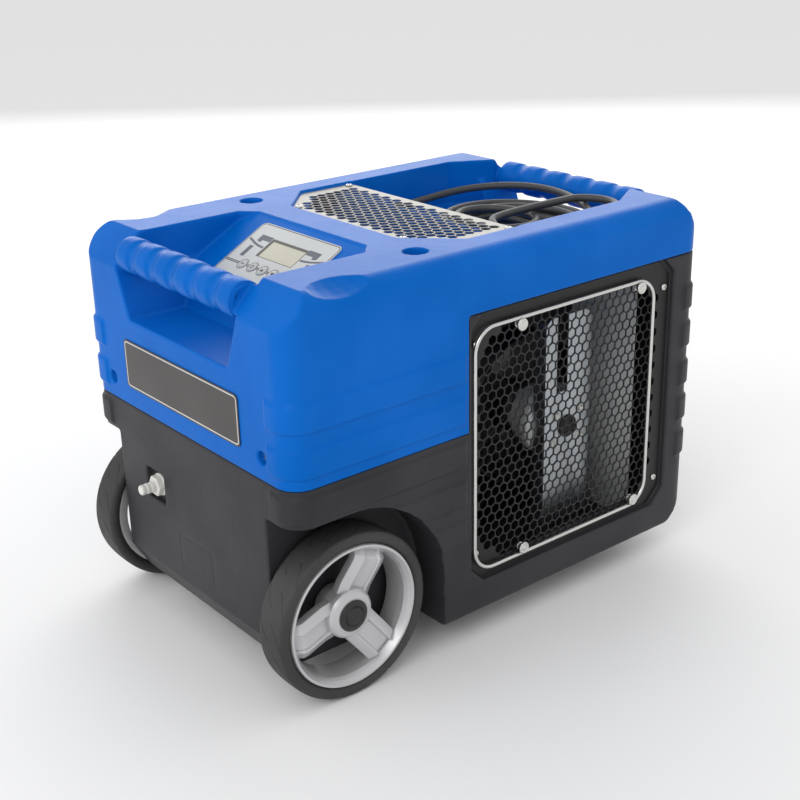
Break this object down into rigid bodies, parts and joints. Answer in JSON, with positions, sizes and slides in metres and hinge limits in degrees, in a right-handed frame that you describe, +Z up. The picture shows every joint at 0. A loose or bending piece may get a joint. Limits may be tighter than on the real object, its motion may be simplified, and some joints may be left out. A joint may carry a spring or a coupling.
{
  "type": "dehumidifier",
  "caption": "Portable low-grain dehumidifier in a two-piece moulded case with wheels, grips, a cord bay and a honeycomb inlet.",
  "frame": {"origin": "on the ground, under the middle of the machine's box", "axes": "+X along the case from the wheel end to the cord end, -Y towards the air inlet, +Z up"},
  "size_m": [0.6713, 0.436, 0.486],
  "materials": {
    "black_enamel": "gloss enamel",
    "black_moulding": "satin",
    "black_plastic": "satin",
    "black_sheet": "black powder coat",
    "blue_shell": "satin orange-peel rotomoulded polyethylene",
    "bright_steel": "bright",
    "coil_fins": "finned, dull",
    "copper": "bare copper tube",
    "cord_jacket": "satin thermoplastic jacket",
    "display_window": "backlit reflective display, off",
    "foot_rubber": "matt",
    "grey_button": "satin membrane key",
    "grey_shell": "fine-textured moulded polyethylene",
    "name_plate": "blank dark plate with a pale border",
    "panel_overlay": "satin printed overlay, no lettering",
    "silver_rim": "silver painted",
    "tyre_rubber": "matt rubber with a shallow tread",
    "white_plastic": "satin",
    "zinc_steel": "zinc plated"
  },
  "bodies": {
    "case": {"axle": "zinc_steel", "compressor": "black_enamel", "condensate_pump": "black_plastic", "condensate_sump": "white_plastic", "condensate_tray": "black_plastic", "condenser": "coil_fins", "control_box": "zinc_steel", "control_panel": "panel_overlay", "cord_coil": "cord_jacket", "cord_gland": "black_moulding", "cord_lead": "cord_jacket", "cord_tail": "cord_jacket", "deck_bolt_left": "bright_steel", "deck_bolt_right": "bright_steel", "discharge_line": "copper", "display_lens": "display_window", "drain_fitting": "white_plastic", "drain_hose": "black_plastic", "duct_baffle": "zinc_steel", "end_screw_left": "bright_steel", "end_screw_right": "bright_steel", "evaporator": "coil_fins", "fan_bulkhead": "black_plastic", "fan_motor": "zinc_steel", "foot_left": "foot_rubber", "foot_right": "foot_rubber", "grille_screw_1": "bright_steel", "grille_screw_2": "bright_steel", "grille_screw_3": "bright_steel", "grille_screw_4": "bright_steel", "inlet_panel": "black_sheet", "lower_shell": "grey_shell", "motor_strut": "zinc_steel", "name_plate": "name_plate", "outlet_grille": "bright_steel", "panel_screw_high_back": "bright_steel", "panel_screw_high_front": "bright_steel", "panel_screw_low_back": "bright_steel", "panel_screw_low_front": "bright_steel", "plug": "black_moulding", "suction_line": "copper", "thumb_nut_1": "bright_steel", "thumb_nut_2": "bright_steel", "thumb_nut_3": "bright_steel", "thumb_nut_4": "bright_steel", "upper_shell": "blue_shell", "wire_retainer": "bright_steel"},
    "wheel_left": {"tyre_left": "tyre_rubber", "rim_left": "silver_rim", "hub_cap_left": "black_plastic"},
    "wheel_right": {"tyre_right": "tyre_rubber", "rim_right": "silver_rim", "hub_cap_right": "black_plastic"},
    "impeller": {"fan_impeller": "black_plastic"},
    "float": {"sump_float": "white_plastic"},
    "button_1": {"button_1": "grey_button"},
    "button_2": {"button_2": "grey_button"},
    "button_3": {"button_3": "grey_button"},
    "button_4": {"button_4": "grey_button"},
    "button_5": {"button_5": "grey_button"}
  },
  "joints": [
    {"name": "wheel_left_spin", "type": "hinge", "parent": "case", "child": "wheel_left", "pos_m": [-0.234, 0, 0.1016], "axis": [0, 1, 0], "continuous": true},
    {"name": "wheel_right_spin", "type": "hinge", "parent": "case", "child": "wheel_right", "pos_m": [-0.234, 0, 0.1016], "axis": [0, 1, 0], "continuous": true},
    {"name": "impeller_spin", "type": "hinge", "parent": "case", "child": "impeller", "pos_m": [0.141, 0, 0.213], "axis": [0, 1, 0], "continuous": true},
    {"name": "button_1_press", "type": "slide", "parent": "case", "child": "button_1", "axis": [0.4771, 0, -0.8789], "range_m": [0, 0.0008], "stiffness_N_per_m": 600},
    {"name": "button_2_press", "type": "slide", "parent": "case", "child": "button_2", "axis": [0.4771, 0, -0.8789], "range_m": [0, 0.0008], "stiffness_N_per_m": 600},
    {"name": "button_3_press", "type": "slide", "parent": "case", "child": "button_3", "axis": [0.4771, 0, -0.8789], "range_m": [0, 0.0008], "stiffness_N_per_m": 600},
    {"name": "button_4_press", "type": "slide", "parent": "case", "child": "button_4", "axis": [0.4771, 0, -0.8789], "range_m": [0, 0.0008], "stiffness_N_per_m": 600},
    {"name": "button_5_press", "type": "slide", "parent": "case", "child": "button_5", "axis": [0.4771, 0, -0.8789], "range_m": [0, 0.0008], "stiffness_N_per_m": 600},
    {"name": "float_rise", "type": "slide", "parent": "case", "child": "float", "axis": [0, 0, 1], "range_m": [0, 0.015]}
  ]
}
